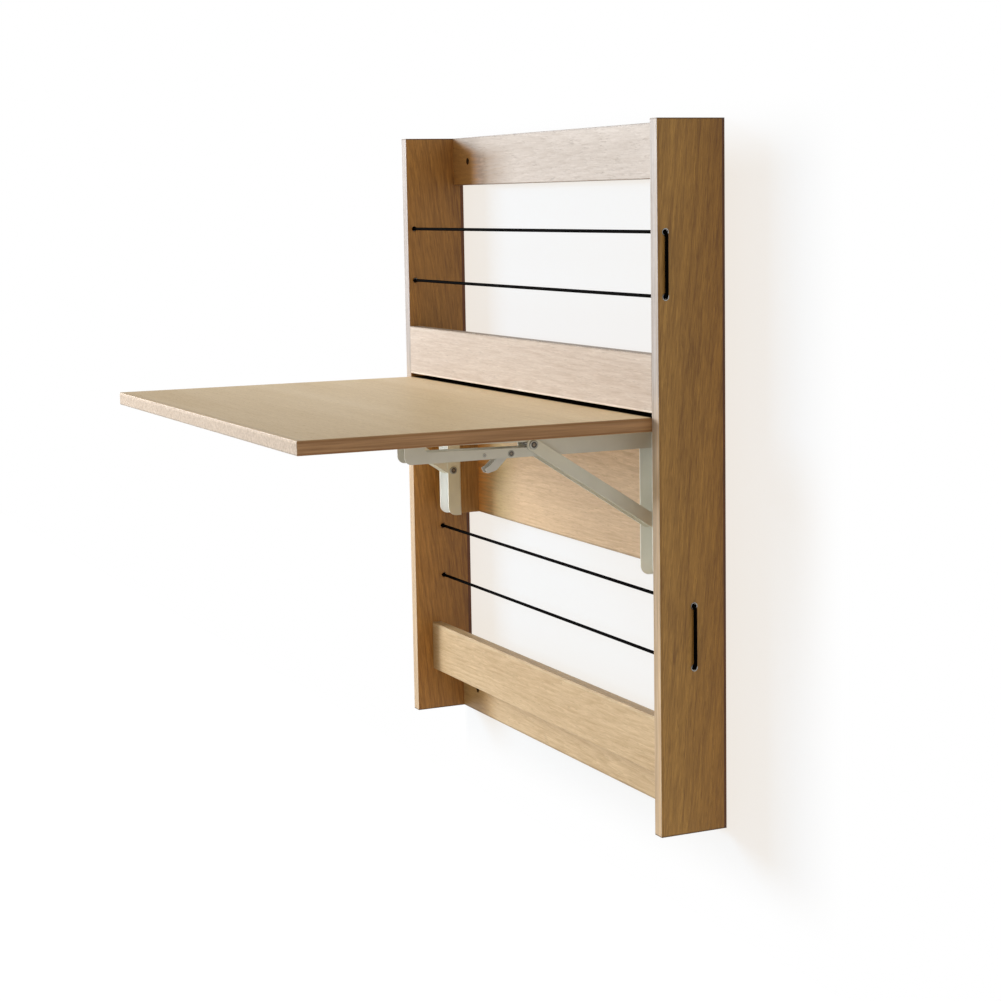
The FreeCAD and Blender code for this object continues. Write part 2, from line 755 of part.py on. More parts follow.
# Screws of the brackets
def arm_screws():
    """Pan-head screws up through the arm's web into the desktop."""
    under_web = hinge_z + axis_below_board - sheet_thickness
    screws = []
    for x in (-bracket_x, bracket_x):
        for share in arm_screw_shares:
            y = arm_point(arm_reach * share, 0.0)[0]
            head = rod_z(x, y, under_web - screw_head_thickness, under_web, screw_head_radius)
            shank = rod_z(x, y, under_web, under_web + arm_screw_length, screw_radius)
            screws.append(head.fuse(shank))
    return Part.makeCompound(screws)


def leg_screws():
    """Pan-head screws through the leg's web into the block."""
    screws = []
    for x in (-bracket_x, bracket_x):
        for z in leg_screw_heights():
            head = rod_y(x, leg_web_y - screw_head_thickness, leg_web_y, z, screw_head_radius)
            shank = rod_y(x, leg_web_y, leg_web_y + leg_screw_length, z, screw_radius)
            screws.append(head.fuse(shank))
    return Part.makeCompound(screws)


# Assembly
def bracket_nodes():
    return {
        "bracket_leg": leg(),
        "hinge_pin": through_rivet(leg_width / 2, hinge_y, hinge_z, hinge_pin_radius),
        "brace_pivots": brace_pivots(),
        "bracket_arm": arm(),
        "brace_inner_bar": brace_bar(-1),
        "brace_outer_bar": brace_bar(1),
        "brace_rivets": brace_rivets(),
        "slide_pin": slide_pin(),
        "slide_bushes": slide_bushes(),
        "release_lever": release_lever(),
        "lever_pin": lever_pin(),
        "spring_post": spring_post(),
        "lever_spring": lever_spring(),
    }


def all_nodes():
    nodes = {
        "left_side_panel": side_panel(-1),
        "right_side_panel": side_panel(1),
    }
    for name, board in cross_boards.items():
        nodes[name] = cross_board(board)
    for name in ("top_rear_rail", "bottom_rear_rail"):
        nodes[name] = cut_all(nodes[name], wall_holes(cross_boards[name]))
    nodes["mid_rear_panel"] = cut_all(nodes["mid_rear_panel"], mid_panel_sinks())
    nodes["rail_dowels"] = rail_dowels()
    nodes["left_bracket_block"] = bracket_block(-1)
    nodes["right_bracket_block"] = bracket_block(1)
    nodes["block_screws"] = block_screws()
    nodes["leg_screws"] = leg_screws()
    nodes["pivot_washers"] = pivot_washers()
    for name, (y, top) in cord_pairs.items():
        nodes[name] = cord_loop(y, top)
    nodes["cord_eyelets"] = cord_eyelets()
    nodes["cord_crimps"] = cord_crimps()
    nodes["desktop_board"] = desktop_board()
    nodes["arm_screws"] = arm_screws()
    pieces = bracket_nodes()
    for side_name, centre in (("left", -bracket_x), ("right", bracket_x)):
        for name, shape in pieces.items():
            placed = shape.copy()
            if side_name == "left":
                placed = placed.mirror(Vector(0, 0, 0), Vector(1, 0, 0))
            placed.translate(Vector(centre, 0, 0))
            nodes[side_name + "_" + name] = placed
    return nodes


def main():
    os.makedirs("parts", exist_ok=True)
    for name, shape in all_nodes().items():
        shape.exportStep("parts/" + name + ".step")
        print(name, "valid" if shape.isValid() else "not valid", len(shape.Solids), "solids",
              round(shape.Volume, 1), "mm3")
    print("hinge axis", hinge_y, hinge_z, "brace pivot", brace_y, brace_z)
    print("slide pin", arm_point(pin_reach, pin_rise), "to", arm_point(folded_reach, folded_rise))
    print("lever pivot", arm_point(lever_s, lever_h))


main()
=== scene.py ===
import math
from collections import namedtuple

import bpy
from mathutils import Matrix, Vector


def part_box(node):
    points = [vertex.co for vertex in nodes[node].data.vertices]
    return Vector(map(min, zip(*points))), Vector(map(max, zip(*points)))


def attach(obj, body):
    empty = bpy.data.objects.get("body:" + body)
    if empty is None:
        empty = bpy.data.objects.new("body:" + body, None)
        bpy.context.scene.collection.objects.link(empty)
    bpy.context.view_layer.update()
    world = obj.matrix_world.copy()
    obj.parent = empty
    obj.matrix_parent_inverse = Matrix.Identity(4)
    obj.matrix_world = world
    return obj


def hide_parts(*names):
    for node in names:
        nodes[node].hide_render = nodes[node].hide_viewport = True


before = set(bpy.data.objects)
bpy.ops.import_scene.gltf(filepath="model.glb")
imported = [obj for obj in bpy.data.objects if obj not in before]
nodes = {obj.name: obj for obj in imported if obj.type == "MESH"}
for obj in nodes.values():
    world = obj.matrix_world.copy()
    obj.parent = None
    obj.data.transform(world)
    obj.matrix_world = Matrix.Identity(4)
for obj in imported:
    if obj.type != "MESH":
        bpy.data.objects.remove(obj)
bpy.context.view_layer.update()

# Sizes in metres that several pieces share, as in the CAD
HALF_WIDTH = 0.450
CORD_RADIUS = 0.0025
CORD_BEND = 0.005
EYELET_RIM = 0.0050
CRIMP_HALF_LENGTH = 0.008
BRACKET_X = 0.361

# Axes of the rivets and pins, as places (Y, Z)
HINGE = (-0.0685, 0.0555)
BRACE_PIVOT = (-0.0685, -0.0645)
SLIDE_PIN = (-0.2625, 0.0605)
LEVER_PIN = (-0.2950, 0.0500)
SPRING_POST = (-0.3350, 0.0500)
RIVET_HEAD_RADIUS = 0.0064
LEVER_RIVET_RADIUS = 0.0048
POST_HEAD_RADIUS = 0.0026

# Screws: their sizes, and the places of each row for the right side
SCREW_HEAD_RADIUS = 0.004
SCREW_PAN_HEIGHT = 0.002
SCREW_SHANK_RADIUS = 0.002
SCREW_TIP_LENGTH = 0.003
ARM_SCREW_PLACES = [(BRACKET_X, depth, 0.0710) for depth in (-0.12988, -0.21429, -0.33705, -0.42529)]
LEG_SCREW_PLACES = [(BRACKET_X, -0.0560, height) for height in (-0.11706, -0.03585, 0.02826)]
BLOCK_SCREW_PLACES = [(0.4062, -0.00002, height) for height in (-0.10256, -0.0360, 0.03056)]

# The photograph's viewing angle, worked out from the desk's own corners
CAMERA_PLACE = (3.0332062, -1.5449292, 0.3943585)
CAMERA_YAW, CAMERA_PITCH, CAMERA_ROLL = 1.1367, 0.1383, -0.0176
FOCAL_LENGTH_PIXELS = 2161.5981
PHOTO_WIDTH_PIXELS = 1001.0
SENSOR_WIDTH_MM = 36.0

# A face counts as turned to a direction between these two cosines, on a soft step
CLEARLY = (0.62, 0.86)
ROUGHLY = (0.40, 0.70)

# Lipping, painted light and painted shade on a board. Tones multiply the colour, and directions are written like
# "-y".
# LightSweep: painted light and shade, a tint that goes from the first tone at the depth start to the last one at
# end, lighter or darker across the board as the light on it is.
LightSweep = namedtuple("LightSweep", "start end first_tone last_tone")
# Band: solid lipping on some faces, and grain the axis of its fibres. low_tone is painted shade, its colour low
# down under the desktop, and front_tone painted light on its faces turned to -y.
Band = namedtuple("Band", "faces tone low_tone front_tone grain", defaults=(None, None, "z"))
# Shade: tone on the front faces left of reach. It ends at a slanting line through corner (X, Z) and at the height
# ceiling. halo is a wider, fading tone: the X of its start and end, and the tone.
Shade = namedtuple("Shade", "reach soft tone corner halo ceiling", defaults=(None, None, None))
# Strip: a narrow strip between two places along an axis, on the faces turned to face, that its tone lightens or
# darkens: mostly painted highlights and painted shade along arrises and edges.
Strip = namedtuple("Strip", "axis low high tone face", defaults=(None,))
# Grain: the fields that make up the veneer's figure.
Grain = namedtuple("Grain", "late sway broad streak fibre pores flecks strength")


# ---------------------------------------------------------------- camera
def make_camera():
    yaw, pitch, roll = CAMERA_YAW, CAMERA_PITCH, CAMERA_ROLL
    forward = Vector((-math.sin(yaw) * math.cos(pitch), math.cos(yaw) * math.cos(pitch), -math.sin(pitch)))
    right = Vector((math.cos(yaw), math.sin(yaw), 0.0))
    up = right.cross(forward)
    right_rolled = right * math.cos(roll) + up * math.sin(roll)
    up_rolled = up * math.cos(roll) - right * math.sin(roll)
    data = bpy.data.cameras.new("photo_camera")
    data.sensor_fit = "HORIZONTAL"
    data.sensor_width = SENSOR_WIDTH_MM
    data.lens = SENSOR_WIDTH_MM * FOCAL_LENGTH_PIXELS / PHOTO_WIDTH_PIXELS
    data.clip_end = 60.0
    camera = bpy.data.objects.new("photo_camera", data)
    bpy.context.scene.collection.objects.link(camera)
    turn = Matrix((right_rolled, up_rolled, -forward)).transposed().to_4x4()
    camera.matrix_world = Matrix.Translation(CAMERA_PLACE) @ turn
    bpy.context.scene.camera = camera


# ---------------------------------------------------------------- colours and nodes
def srgb(red, green, blue):
    def linear(value):
        value /= 255.0
        return value / 12.92 if value <= 0.04045 else ((value + 0.055) / 1.055) ** 2.4
    return (linear(red), linear(green), linear(blue))


def scaled(colour, share):
    return tuple(min(1.0, value * share) for value in colour)


class Nodes:
    """Short calls for building one node tree. Colours are given as red, green and blue."""

    def __init__(self, tree):
        self.tree = tree
        tree.nodes.clear()

    def put(self, socket, value):
        if isinstance(value, bpy.types.NodeSocket):
            self.tree.links.new(value, socket)
        elif socket.type == "RGBA":
            socket.default_value = tuple(value) + (1.0,)
        else:
            socket.default_value = value

    def add(self, kind, inputs=None, **settings):
        node = self.tree.nodes.new(kind)
        for key, value in settings.items():
            setattr(node, key, value)
        for key, value in (inputs or {}).items():
            self.put(node.inputs[key], value)
        return node

    def calc(self, operation, first, second=None, third=None, clamp=False):
        node = self.add("ShaderNodeMath", operation=operation, use_clamp=clamp)
        for index, value in enumerate((first, second, third)):
            if value is not None:
                self.put(node.inputs[index], value)
        return node.outputs[0]

    def step(self, value, low, high, out_low=0.0, out_high=1.0):
        return self.add("ShaderNodeMapRange", {"Value": value, "From Min": low, "From Max": high,
                                               "To Min": out_low, "To Max": out_high},
                        interpolation_type="SMOOTHSTEP").outputs[0]

    def linear(self, value, low, high, out_low=0.0, out_high=1.0):
        return self.add("ShaderNodeMapRange", {"Value": value, "From Min": low, "From Max": high,
                                               "To Min": out_low, "To Max": out_high}).outputs[0]

    def mix(self, factor, first, second, blend="MIX"):
        node = self.add("ShaderNodeMix", data_type="RGBA", blend_type=blend)
        self.put(node.inputs[0], factor)
        self.put(node.inputs[6], first)
        self.put(node.inputs[7], second)
        return node.outputs[2]

    def tinted(self, mask, colour, tone):
        """The colour, multiplied by a tone where the mask is one."""
        return self.mix(mask, colour, self.mix(1.0, colour, tone, "MULTIPLY"))

    def noise(self, vector, scale, detail=2.0, rough=0.5):
        return self.add("ShaderNodeTexNoise", {"Vector": vector, "Scale": scale, "Detail": detail,
                                               "Roughness": rough}).outputs[0]

    def bump(self, strength, distance, height):
        return self.add("ShaderNodeBump", {"Strength": strength, "Distance": distance,
                                           "Height": height}).outputs[0]

    def object_place(self):
        return self.add("ShaderNodeTexCoord").outputs["Object"]

    def axes(self, vector):
        """The parts of a vector by axis name."""
        return dict(zip("xyz", self.add("ShaderNodeSeparateXYZ", {0: vector}).outputs))

    def stretch(self, vector, scale):
        return self.add("ShaderNodeMapping", {"Vector": vector, "Scale": scale}).outputs[0]

    def length(self, across, up):
        squares = self.calc("ADD", self.calc("MULTIPLY", across, across), self.calc("MULTIPLY", up, up))
        return self.calc("SQRT", squares)

    def distance(self, across, up, centre):
        """Distance in a plane from a centre."""
        return self.length(self.calc("SUBTRACT", across, centre[0]), self.calc("SUBTRACT", up, centre[1]))

    def nearest(self, across, up, centres):
        """Distance in a plane from the nearest of some centres."""
        reach = None
        for centre in centres:
            here = self.distance(across, up, centre)
            reach = here if reach is None else self.calc("MINIMUM", reach, here)
        return reach

    def turned_to(self, normal, way, limits):
        """Mask of the faces that look a way such as "-y"."""
        sign = -1.0 if way[0] == "-" else 1.0
        return self.step(self.calc("MULTIPLY", normal[way[1]], sign), *limits)

    def finish(self, shader):
        self.add("ShaderNodeOutputMaterial", {"Surface": shader})

    def principled(self, colour, roughness, normal, **sockets):
        inputs = {"Base Color": colour, "Roughness": roughness, "Normal": normal}
        inputs.update(sockets)
        self.finish(self.add("ShaderNodeBsdfPrincipled", inputs).outputs[0])


def new_material(name):
    material = bpy.data.materials.new(name)
    material.use_nodes = True
    return material, Nodes(material.node_tree)


# ---------------------------------------------------------------- oak veneer
def oak_grain(n, place, order, seed, heart, tilt, spacing, figure, sway_share, lean):
    """Growth rings about the tree's middle, with the streaks, fibres, pores and flecks of oak."""
    along, across, through = [place[axis] for axis in order]
    if lean:
        across = n.calc("MULTIPLY_ADD", along, lean, across)

    def field(grain_scale, cross_scale, shift, detail, rough):
        stretched = n.add("ShaderNodeCombineXYZ", {
            0: n.calc("MULTIPLY_ADD", along, grain_scale, seed + shift),
            1: n.calc("MULTIPLY_ADD", across, cross_scale, seed * 0.37 + shift),
            2: n.calc("MULTIPLY_ADD", through, cross_scale, shift)}).outputs[0]
        return n.noise(stretched, 1.0, detail, rough)

    drift = field(1.3, 4.0, 0.0, 2.0, 0.4)
    sway = field(2.6, 8.0, 7.0, 3.0, 0.5)
    side_way = n.calc("MULTIPLY_ADD", n.calc("SUBTRACT", drift, 0.5), 0.030 * sway_share,
                      n.calc("SUBTRACT", across, heart[0]))
    under = n.calc("MULTIPLY_ADD", along, tilt, n.calc("SUBTRACT", through, heart[1]))
    under = n.calc("MULTIPLY_ADD", n.calc("SUBTRACT", sway, 0.5), 0.014 * sway_share, under)
    wander = field(6.0, 60.0, 41.0, 3.0, 0.6)
    ring = n.calc("MULTIPLY_ADD", wander, 2.2, n.calc("DIVIDE", n.length(side_way, under), spacing))
    saw = n.calc("FRACT", ring)
    late = n.calc("MULTIPLY", n.step(saw, 0.25, 0.90), n.step(saw, 0.93, 1.0, 1.0, 0.0))
    early = n.step(saw, 0.0, 0.40, 1.0, 0.0)
    pore_field = field(75.0, 1700.0, 23.0, 1.0, 0.5)
    return Grain(
        late=late,
        sway=sway,
        broad=field(1.2, 16.0, 3.0, 3.0, 0.55),
        streak=field(16.0, 230.0, 11.0, 4.0, 0.60),
        fibre=field(40.0, 760.0, 17.0, 3.0, 0.62),
        pores=n.calc("MULTIPLY", n.step(pore_field, 0.55, 0.68), n.calc("MULTIPLY_ADD", early, 0.7, 0.3)),
        flecks=n.step(field(30.0, 260.0, 31.0, 1.0, 0.5), 0.64, 0.74),
        strength=n.linear(field(2.4, 34.0, 47.0, 2.0, 0.5), 0.36, 0.62, 0.15 * figure, 1.25 * figure))


def oak_colour(n, grain, light, dark, pore_tone, contrast):
    tone = n.calc("MULTIPLY", n.calc("SUBTRACT", grain.late, 0.35), grain.strength)
    for field, low, high, share in ((grain.broad, 0.32, 0.68, 0.30),
                                    (grain.streak, 0.30, 0.70, 0.50 * contrast),
                                    (grain.fibre, 0.30, 0.70, 0.40 * contrast)):
        tone = n.calc("MULTIPLY_ADD", n.linear(field, low, high, -0.5, 0.5), share, tone)
    colour = n.mix(n.calc("ADD", tone, 0.5, clamp=True), light, dark)
    colour = n.mix(n.calc("MULTIPLY", grain.pores, 0.34 + 0.12 * contrast), colour, pore_tone)
    return n.mix(n.calc("MULTIPLY", grain.flecks, 0.30), colour, scaled(light, 1.15))


def edge_band(n, colour, band, seam_tone, object_place, place, normal):
    """Lipping worn along its fibres, with a dark seam where it meets the veneer."""
    mask = None
    for way in band.faces:
        faces = n.turned_to(normal, way, CLEARLY)
        mask = faces if mask is None else n.calc("MAXIMUM", mask, faces)
    base = band.tone
    # Painted shade: the lipping is darker low down, in the desktop's shade.
    if band.low_tone:
        base = n.mix(n.step(place["z"], 0.02, 0.16), band.low_tone, band.tone)
    scales = [9.0 if axis == band.grain else 300.0 for axis in "xyz"]
    fibres = n.noise(n.stretch(object_place, scales), 1.0, 3.0, 0.62)
    edge = n.tinted(n.linear(fibres, 0.34, 0.68), base, (0.66, 0.61, 0.55))
    # Painted light on the lipping's faces turned to -y, towards the lamp.
    if band.front_tone:
        edge = n.tinted(n.turned_to(normal, "-y", CLEARLY), edge, band.front_tone)
    seam = n.calc("MULTIPLY", n.calc("MULTIPLY", mask, n.calc("SUBTRACT", 1.0, mask)), 1.6)
    return n.mix(seam, n.mix(mask, colour, edge), seam_tone)


def corner_shade(n, colour, shade, grain, place, normal):
    """Shade towards the left side panel, with an edge that the grain makes uneven."""
    front = n.turned_to(normal, "-y", ROUGHLY)
    if shade.ceiling:
        below = n.step(place["z"], shade.ceiling - 0.01, shade.ceiling + 0.01, 1.0, 0.0)
        front = n.calc("MULTIPLY", front, below)
    far = n.calc("MULTIPLY_ADD", n.calc("SUBTRACT", grain.sway, 0.5), 0.03, place["x"])
    far = n.calc("MULTIPLY_ADD", grain.late, 0.012, far)
    far = n.calc("MULTIPLY_ADD", n.calc("SUBTRACT", grain.streak, 0.5), 0.05, far)
    near = n.step(far, shade.reach - shade.soft, shade.reach + shade.soft, 1.0, 0.0)
    if shade.corner:
        corner_x, corner_z = shade.corner
        slant = n.calc("MULTIPLY_ADD", n.calc("SUBTRACT", place["z"], corner_z), 3.6,
                       n.calc("SUBTRACT", place["x"], corner_x))
        near = n.calc("MULTIPLY", near, n.step(slant, -0.03, 0.03, 1.0, 0.0))
    near = n.calc("MULTIPLY", near, front)
    colour = n.tinted(near, colour, shade.tone)
    if shade.halo:
        start, end, halo_tone = shade.halo
        wide = n.calc("MULTIPLY", n.linear(far, start, end, 1.0, 0.0), n.calc("MULTIPLY_ADD", near, -0.85, 1.0))
        wide = n.calc("MULTIPLY", wide, front)
        if shade.corner:
            wide = n.calc("MULTIPLY", wide, n.linear(place["z"], corner_z - 0.016, corner_z - 0.036))
        colour = n.tinted(wide, colour, halo_tone)
    return colour


def lit_and_shaded_strips(n, colour, strips, place, normal):
    soft = 0.0006
    for strip in strips:
        along = place[strip.axis]
        line = n.calc("MULTIPLY", n.step(along, strip.low - soft, strip.low + soft),
                      n.step(along, strip.high - soft, strip.high + soft, 1.0, 0.0))
        if strip.face:
            line = n.calc("MULTIPLY", line, n.turned_to(normal, strip.face, ROUGHLY))
        colour = n.tinted(line, colour, strip.tone)
    return colour


def oak(name, order, light, dark, seed, heart, tilt, spacing, figure, sway_share=1.0, contrast=1.0, lean=0.0,
        gloss=0.5, light_sweep=None, band=None, lit_face_tone=None, shade=None, holes=(), shaded_ends=False, strips=(),
        gap_shade=False):
    """Oak veneer. order names the object axes along the grain, across the face and through the board, and heart
    is the place of the tree's middle across the face and under it, which shapes the figure. lean tilts the grain.
    lit_face_tone paints light: it makes the faces turned to -X, towards the lamp, paler than the shaded faces.
    holes are places (X, Z) of deep holes, which get painted shade, shaded_ends paints shade along the top and
    bottom ends, and gap_shade is the dark gap between the open desktop and the rail above it."""
    material, n = new_material(name)
    coords = n.add("ShaderNodeTexCoord")
    place = n.axes(coords.outputs["Object"])
    normal = n.axes(coords.outputs["Normal"])
    pore_tone = scaled(dark, 0.42)
    grain = oak_grain(n, place, order, seed, heart, tilt, spacing, figure, sway_share, lean)
    colour = oak_colour(n, grain, light, dark, pore_tone, contrast)
    # Painted light and shade: the tint changes from front to back across the board.
    if light_sweep:
        tint = n.mix(n.linear(place["y"], light_sweep.start, light_sweep.end), light_sweep.first_tone, light_sweep.last_tone)
        colour = n.mix(1.0, colour, tint, "MULTIPLY")
    if band:
        colour = edge_band(n, colour, band, pore_tone, coords.outputs["Object"], place, normal)
    # Painted light: faces turned to -X, towards the lamp, get a paler colour than the shaded faces.
    if lit_face_tone:
        colour = n.tinted(n.turned_to(normal, "-x", CLEARLY), colour, lit_face_tone)
    if shade:
        colour = corner_shade(n, colour, shade, grain, place, normal)
    # Painted shade in the deep holes: near black, and without sheen.
    for centre in holes:
        hole_shade = n.step(n.distance(place["x"], place["z"], centre), 0.0052, 0.0062, 1.0, 0.0)
        colour = n.mix(n.calc("MULTIPLY", hole_shade, 0.93), colour, (0.030, 0.016, 0.008))
        gloss = n.calc("MULTIPLY", n.calc("SUBTRACT", 1.0, hole_shade), gloss)
    # Painted shade along the last few millimetres at the top and bottom ends.
    if shaded_ends:
        ends = n.step(n.calc("ABSOLUTE", place["z"]), 0.4974, 0.4994)
        colour = n.mix(n.calc("MULTIPLY", ends, 0.85), colour, pore_tone)
    # Narrow lighter and darker strips along arrises and edges, mostly painted highlights and painted shade.
    colour = lit_and_shaded_strips(n, colour, strips, place, normal)
    if gap_shade:
        room = n.axes(n.add("ShaderNodeNewGeometry").outputs["Position"])
        tail = n.calc("MULTIPLY", n.step(room["y"], -0.1105, -0.1040), n.step(room["z"], 0.0905, 0.0925))
        colour = n.mix(tail, colour, (0.004, 0.003, 0.002))
        gloss = n.calc("MULTIPLY_ADD", tail, -gloss, gloss)
    height = n.calc("MULTIPLY_ADD", grain.pores, -1.0, n.calc("MULTIPLY", grain.fibre, 0.35))
    rough = n.calc("MULTIPLY_ADD", grain.pores, 0.18, n.linear(grain.broad, 0.25, 0.75, 0.43, 0.51))
    n.principled(colour, rough, n.bump(0.22, 0.0004, height), **{"Specular IOR Level": gloss})
    return material


# ---------------------------------------------------------------- paint, metal, plastic, cord
def painted(name, base, shade, inside=None):
    """Satin powder paint with a fine orange-peel skin and slightly dusty, unevenly handled patches.
    inside gives the middle plane, half width and colour of a channel's inner faces, which it paints pale as
    painted light."""
    material, n = new_material(name)
    place = n.object_place()
    peel = n.noise(place, 1400.0)
    patch = n.noise(place, 22.0, 3.0, 0.55)
    speck = n.step(n.noise(place, 900.0, 1.0), 0.70, 0.78)
    colour = n.mix(n.linear(patch, 0.3, 0.7), base, shade)
    colour = n.mix(n.calc("MULTIPLY", speck, 0.16), colour, scaled(shade, 0.72))
    # Painted light: the channel's inner faces are given a pale colour.
    if inside:
        middle, half, lit_colour = inside
        off = n.calc("ABSOLUTE", n.calc("SUBTRACT", n.axes(place)["x"], middle))
        colour = n.mix(n.step(off, half - 0.0004, half + 0.0004, 1.0, 0.0), colour, lit_colour)
    soft = n.add("ShaderNodeBevel", {"Radius": 0.0004, "Normal": n.bump(0.10, 0.0003, peel)}, samples=4).outputs[0]
    n.principled(colour, n.linear(patch, 0.3, 0.7, 0.34, 0.44), soft)
    return material


def metal(name, base, shade, roughness, brushed=(1.0, 1.0, 1.0)):
    """Plated steel with faint handling marks and fine machining lines. brushed stretches the lines."""
    material, n = new_material(name)
    place = n.object_place()
    lines = n.noise(n.stretch(place, brushed), 1560.0, 3.0, 0.6)
    patch = n.noise(place, 260.0, 3.0, 0.6)
    colour = n.mix(n.linear(patch, 0.3, 0.7), base, shade)
    rough = n.linear(patch, 0.3, 0.7, roughness - 0.06, roughness + 0.08)
    n.principled(colour, rough, n.bump(0.12, 0.0002, lines), Metallic=1.0)
    return material


def rivet(name, centres, head_radius, rim):
    """Rivet heads about the given places (Y, Z): a worn rim from a share of the radius outward, a dark ring of
    painted shade in the groove, painted shadow round the head's foot, and a bare middle."""
    material, n = new_material(name)
    place = n.object_place()
    axes = n.axes(place)
    wobble = n.calc("MULTIPLY_ADD", n.noise(place, 700.0), 0.0003, -0.00015)
    reach = n.calc("ADD", n.nearest(axes["y"], axes["z"], centres), wobble)
    reach = n.calc("DIVIDE", reach, head_radius)
    # Painted shade: dark in the groove ring, which also loses its sheen, and round the head's foot.
    shaded_groove = n.calc("MULTIPLY", n.step(reach, 0.30, 0.38), n.step(reach, rim - 0.06, rim + 0.02, 1.0, 0.0))
    shaded_foot = n.step(reach, 0.93, 1.0)
    patch = n.noise(place, 420.0, 3.0, 0.6)
    worn = n.mix(n.linear(patch, 0.35, 0.65), (0.47, 0.455, 0.40), (0.33, 0.32, 0.28))
    middle = n.mix(n.linear(patch, 0.35, 0.65), (0.34, 0.27, 0.20), (0.20, 0.15, 0.11))
    colour = n.mix(n.step(reach, 0.30, 0.40), middle, worn)
    colour = n.mix(n.calc("MULTIPLY", shaded_groove, 0.88), colour, (0.035, 0.030, 0.025))
    colour = n.mix(n.calc("MULTIPLY", shaded_foot, 0.55), colour, (0.06, 0.055, 0.05))
    rough = n.calc("MULTIPLY_ADD", shaded_groove, 0.3, n.linear(patch, 0.3, 0.7, 0.36, 0.48))
    n.principled(colour, rough, n.bump(0.15, 0.0002, n.noise(place, 2200.0, 3.0, 0.6)),
                 Metallic=n.calc("MULTIPLY_ADD", shaded_groove, -0.5, 0.55))
    return material


def eyelet(name, centres):
    """Nickel eyelets about the given places (Y, Z), bright inside, with painted shadow round the outer edge of the
    rolled rim.
    """
    material, n = new_material(name)
    place = n.object_place()
    axes = n.axes(place)
    reach = n.nearest(axes["y"], axes["z"], centres)
    patch = n.noise(place, 420.0, 3.0, 0.6)
    colour = n.mix(n.linear(patch, 0.3, 0.7), (0.62, 0.61, 0.58), (0.44, 0.43, 0.40))
    # Painted shadow round the outer edge of the rolled rim.
    colour = n.mix(n.step(reach, EYELET_RIM - 0.0003, EYELET_RIM + 0.0002), colour, (0.05, 0.045, 0.04))
    n.principled(colour, n.linear(patch, 0.3, 0.7, 0.24, 0.36),
                 n.bump(0.12, 0.0002, n.noise(place, 1600.0, 3.0, 0.6)), Metallic=1.0)
    return material


def plastic(name, base, shade):
    material, n = new_material(name)
    place = n.object_place()
    grain = n.noise(place, 2600.0)
    colour = n.mix(n.linear(n.noise(place, 180.0), 0.3, 0.7), base, shade)
    n.principled(colour, n.linear(grain, 0.3, 0.7, 0.42, 0.52), n.bump(0.12, 0.0002, grain))
    return material


def dowel_wood(name):
    """Plain beech with short flecks along the dowel."""
    material, n = new_material(name)
    long_way = n.stretch(n.object_place(), (0.12, 1.0, 1.0))
    fibre = n.noise(long_way, 900.0, 3.0, 0.6)
    fleck = n.step(n.noise(long_way, 420.0, 1.0), 0.62, 0.74)
    colour = n.mix(fibre, srgb(226, 196, 156), srgb(196, 158, 112))
    colour = n.mix(n.calc("MULTIPLY", fleck, 0.5), colour, srgb(150, 108, 70))
    n.principled(colour, n.linear(fibre, 0.3, 0.7, 0.5, 0.62), n.bump(0.2, 0.0003, fibre))
    return material


def braid(name):
    """Woven sheath of the elastic cord: two sets of yarns that cross over and under."""
    material, n = new_material(name)
    coords = n.add("ShaderNodeTexCoord")
    place = n.axes(coords.outputs["UV"])
    around = n.calc("MULTIPLY", place["x"], 12.0)
    length = n.calc("MULTIPLY", place["y"], 520.0)
    rising = n.calc("FRACT", n.calc("ADD", around, length))
    falling = n.calc("FRACT", n.calc("SUBTRACT", around, length))
    ridge_a = n.calc("SINE", n.calc("MULTIPLY", rising, math.pi))
    ridge_b = n.calc("SINE", n.calc("MULTIPLY", falling, math.pi))
    weave = n.calc("MAXIMUM", n.calc("MULTIPLY", ridge_a, n.calc("MULTIPLY_ADD", ridge_b, -0.35, 1.0)),
                   n.calc("MULTIPLY", ridge_b, n.calc("MULTIPLY_ADD", ridge_a, -0.25, 0.9)))
    fuzz = n.noise(coords.outputs["Object"], 3800.0, 2.0, 0.6)
    height = n.calc("MULTIPLY_ADD", fuzz, 0.25, weave)
    colour = n.mix(n.step(weave, 0.25, 0.95), (0.0008, 0.0008, 0.0009), (0.0016, 0.0016, 0.0017))
    colour = n.mix(n.calc("MULTIPLY", n.step(fuzz, 0.6, 0.8), 0.2), colour, (0.003, 0.003, 0.003))
    n.principled(colour, n.linear(fuzz, 0.2, 0.8, 0.62, 0.8), n.bump(0.6, 0.0004, height),
                 **{"Specular IOR Level": 0.01})
    return material


# ---------------------------------------------------------------- mesh helpers
def mesh_object(name, points, faces, material, smooth=True):
    mesh = bpy.data.meshes.new(name)
    mesh.from_pydata(points, [], faces)
    mesh.validate()
    mesh.update()
    for face in mesh.polygons:
        face.use_smooth = smooth
    mesh.materials.append(material)
    piece = bpy.data.objects.new(name, mesh)
    bpy.context.scene.collection.objects.link(piece)
    return piece


def lathe(profile, turn, steps=48):
    """Points and faces of a closed ring profile (height, radius) about an axis, placed by turn.
    A radius may be a function of the angle."""
    points = []
    faces = []
    rows = len(profile)
    for step in range(steps):
        angle = 2.0 * math.pi * step / steps
        for height, radius in profile:
            reach = radius(angle) if callable(radius) else radius
            points.append(turn @ Vector((reach * math.cos(angle), reach * math.sin(angle), height)))
    for step in range(steps):
        here = step * rows
        ahead = (step + 1) % steps * rows
        for row in range(rows):
            above = (row + 1) % rows
            faces.append((here + row, ahead + row, ahead + above, here + above))
    return points, faces


def facing(place, direction, spin=0.0):
    """Matrix that carries the local Z axis to a direction at a place."""
    turn = Vector((0, 0, 1)).rotation_difference(Vector(direction)).to_matrix().to_4x4()
    return Matrix.Translation(place) @ turn @ Matrix.Rotation(spin, 4, "Z")


